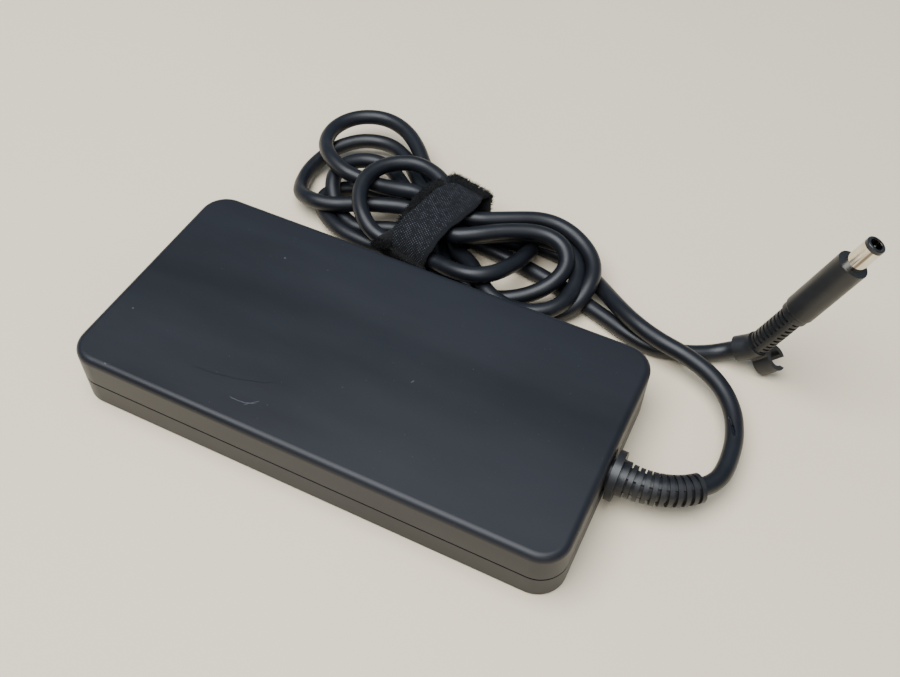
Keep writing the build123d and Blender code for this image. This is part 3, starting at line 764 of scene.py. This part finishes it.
def weave_finish():
    finish = new_finish("woven_back", CLOTH_GROUND, 0.8, {"Specular IOR Level": 0.3})
    knots = combine(finish, "MULTIPLY", waves(finish, "X"), waves(finish, "Y"))
    patchy = spread(finish, noise_at(finish, 600, 3.0), 0.4, 1.0)
    across = add_node(finish, "SeparateXYZ", {"Vector": band_place(finish)}).outputs["X"]
    inside_hem = spread(finish, across, 1.0, 0.0, HEM, HEM * 1.05)
    # Painted glints on the knots, patchy, and stopped at the hem.
    patchy_glints = combine(finish, "MULTIPLY", knots, patchy)
    glint_share = combine(finish, "MULTIPLY", patchy_glints, inside_hem)
    wire(finish, blend_colours(finish, glint_share, CLOTH_GROUND, KNOT_GLINT, 0.32, 0.92), "Base Color")
    wire(finish, spread(finish, glint_share, 0.9, 0.5, 0.3, 0.9), "Roughness")
    bump = add_node(finish, "Bump", {"Height": knots}, Strength=0.8, Distance=KNOT_HEIGHT)
    wire(finish, bump.outputs["Normal"], "Normal")
    return finish


def pile_finish():
    finish = new_finish("soft_pile", (0.015, 0.0145, 0.015), 0.9,
                        {"Specular IOR Level": 0.25, "Sheen Weight": 0.06})
    mottle(finish, (0.004, 0.004, 0.0042), (0.013, 0.0122, 0.0122), 1300)
    vary_gloss(finish, 0.8, 0.95, 900)
    grain(finish, 1500, 0.5 * MM, 1.0)
    return finish


strap.data.materials.append(weave_finish())
strap.data.materials.append(pile_finish())
pile.data.materials.append(strap.data.materials[1])
cord.data.materials.append(finishes["cord_rubber"])
print("strap has", len(strap.data.materials), "finishes")

# %% [markdown]
# ## Everything inside the case
#
# The circuit board and its parts are shut away, but each still gets the finish it would have on a
# bench: green solder mask, rolled aluminium, sintered ferrite, lacquered wire and shrink sleeve.
# They share one recipe, so a table is clearer than a function for each. Its columns are the two
# colours, the range of gloss, the scale of the mottling, the scale and depth of the tooth, and
# whether it is metal.

# %% Inner finishes
INNER = {
    "inlet_plastic": ((0.012, 0.012, 0.013), (0.020, 0.020, 0.021), (0.35, 0.5), 90, 1600, 0.00003, 0),
    "label_film": ((0.020, 0.020, 0.022), (0.030, 0.030, 0.032), (0.28, 0.36), 60, 900, 0.00001, 0),
    "board": ((0.010, 0.055, 0.018), (0.020, 0.085, 0.030), (0.25, 0.4), 110, 700, 0.00003, 0),
    "insulation_film": ((0.012, 0.012, 0.014), (0.022, 0.022, 0.025), (0.2, 0.35), 70, 600, 0.00003, 0),
    "heat_metal": ((0.55, 0.56, 0.58), (0.72, 0.73, 0.75), (0.25, 0.4), 140, 1800, 0.00003, 1),
    "ferrite": ((0.035, 0.034, 0.034), (0.065, 0.063, 0.062), (0.55, 0.75), 260, 1200, 0.0001, 0),
    "copper_wire": ((0.45, 0.17, 0.07), (0.66, 0.28, 0.12), (0.22, 0.38), 380, 1500, 0.0002, 1),
    "component_plastic": ((0.014, 0.014, 0.015), (0.028, 0.028, 0.029), (0.4, 0.55), 180, 1500, 0.00004, 0),
    "capacitor_film": ((0.42, 0.30, 0.03), (0.58, 0.44, 0.06), (0.3, 0.45), 120, 900, 0.00004, 0),
    "capacitor_sleeve": ((0.006, 0.010, 0.030), (0.012, 0.020, 0.050), (0.2, 0.32), 100, 700, 0.00003, 0),
    "ceramic": ((0.05, 0.15, 0.40), (0.09, 0.22, 0.52), (0.22, 0.4), 200, 900, 0.00006, 0),
    "pad": ((0.22, 0.27, 0.33), (0.32, 0.37, 0.43), (0.6, 0.8), 240, 1100, 0.0001, 0),
    "lead_rubber": ((0.010, 0.010, 0.011), (0.018, 0.018, 0.019), (0.35, 0.5), 90, 1300, 0.00003, 0),
}
for slot_name, (low, high, gloss, scale, tooth, depth, metal) in INNER.items():
    finishes[slot_name] = simple_finish(slot_name + "_finish", low, high, gloss, scale, tooth, depth,
                                        {"Metallic": float(metal)})
print(len(finishes), "finishes in all")

# %% [markdown]
# ## Handing out the finishes
#
# The record says which finish each node takes, so one loop dresses the whole frame. Nodes that the
# cord and the strap stand for are dressed too: they are hidden, but never left bare.

# %% Dress the frame
finishes["strap_fabric"] = strap.data.materials[0]
slot_of = {part["node"]: part["material_slot"] for part in frame["record"]["subparts"]}
for name, node in frame["nodes"].items():
    node.data.materials.clear()
    node.data.materials.append(finishes[slot_of[name]])
print("dressed", len(slot_of), "nodes")

# %% [markdown]
# ## Table and light
#
# The adapter lies on a plain pale surface. One wide soft lamp hangs overhead, slightly cool, so
# that lid and strands shine softly on top. A weak warm one fills in from the near side, and pale
# blue surroundings keep the shaded sides from going black.

# %% Stage
FLOOR_HALF = 6.0
LOOK_AT = Vector((0.03, 0.03, 0.0))
SURROUNDINGS, SURROUNDINGS_STRENGTH = (0.60, 0.77, 1.0, 1), 0.39


def add_floor():
    corners = [(x * FLOOR_HALF, y * FLOOR_HALF, 0) for x, y in ((-1, -1), (1, -1), (1, 1), (-1, 1))]
    mesh = bpy.data.meshes.new("floor")
    mesh.from_pydata(corners, [], [(0, 1, 2, 3)])
    finish = new_finish("pale_table", (0.86, 0.73, 0.53), 0.75)
    mottle(finish, (0.84, 0.71, 0.51), (0.88, 0.75, 0.55), 3)
    mesh.materials.append(finish)
    put("floor", mesh)


def add_light(name, at, size, watts, colour):
    data = bpy.data.lights.new(name, "AREA")
    data.shape, data.size, data.energy, data.color = "DISK", size, watts, colour
    light = put(name, data)
    light.location = at
    light.rotation_euler = (LOOK_AT - Vector(at)).to_track_quat("-Z", "Y").to_euler()


def add_surroundings():
    world = bpy.data.worlds.new("room")
    world.use_nodes = True
    background = world.node_tree.nodes["Background"]
    background.inputs["Color"].default_value = SURROUNDINGS
    background.inputs["Strength"].default_value = SURROUNDINGS_STRENGTH
    bpy.context.scene.world = world


add_floor()
add_light("ceiling", (-0.20, -0.26, 1.30), 1.3, 34, (0.93, 0.96, 1.0))
add_light("fill", (0.60, -0.90, 0.90), 1.0, 3, (1.0, 0.96, 0.90))
add_surroundings()
print("stage set")
